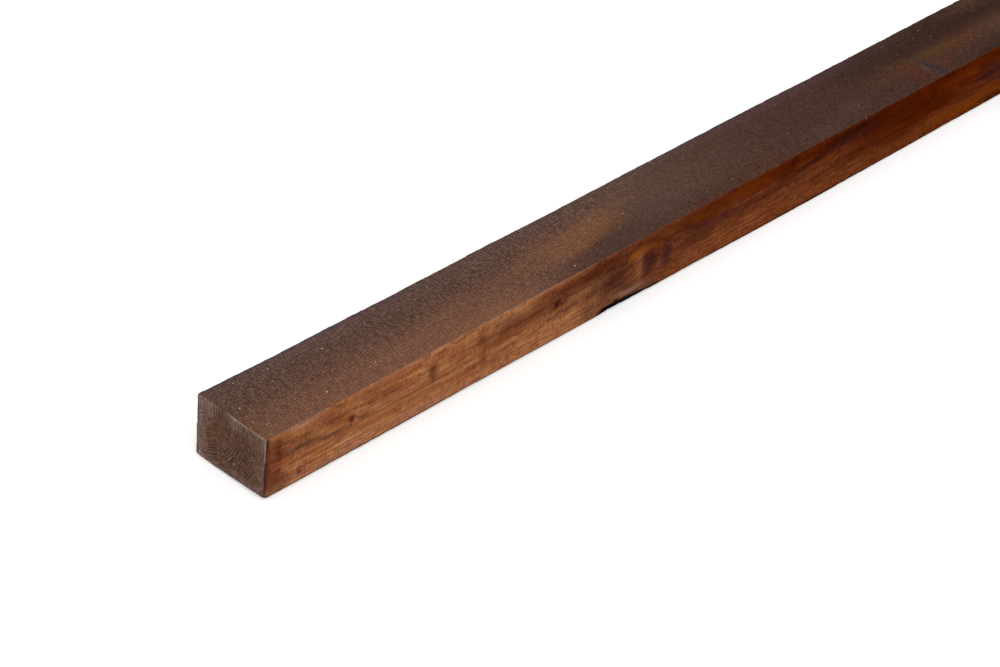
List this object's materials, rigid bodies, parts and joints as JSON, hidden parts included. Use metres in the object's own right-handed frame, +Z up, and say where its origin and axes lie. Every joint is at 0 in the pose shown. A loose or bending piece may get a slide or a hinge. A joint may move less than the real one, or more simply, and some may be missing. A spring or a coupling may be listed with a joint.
{
  "type": "treated timber batten",
  "caption": "Straight rough-sawn softwood batten of rectangular section, brown pressure-treated, with eased arrises, square docked ends and a short stretch of wane on one arris.",
  "frame": {"origin": "middle of the underside, halfway along the stick and halfway across its wide face", "axes": "+X along the grain towards the far end, +Y across the wide face towards the back, +Z up; the stick lies on its wide face"},
  "size_m": [1.8, 0.05, 0.038],
  "materials": {
    "treated_timber": "rough sawn, brown water-borne preservative, matt"
  },
  "bodies": {
    "root": {"batten": "treated_timber"}
  },
  "joints": []
}
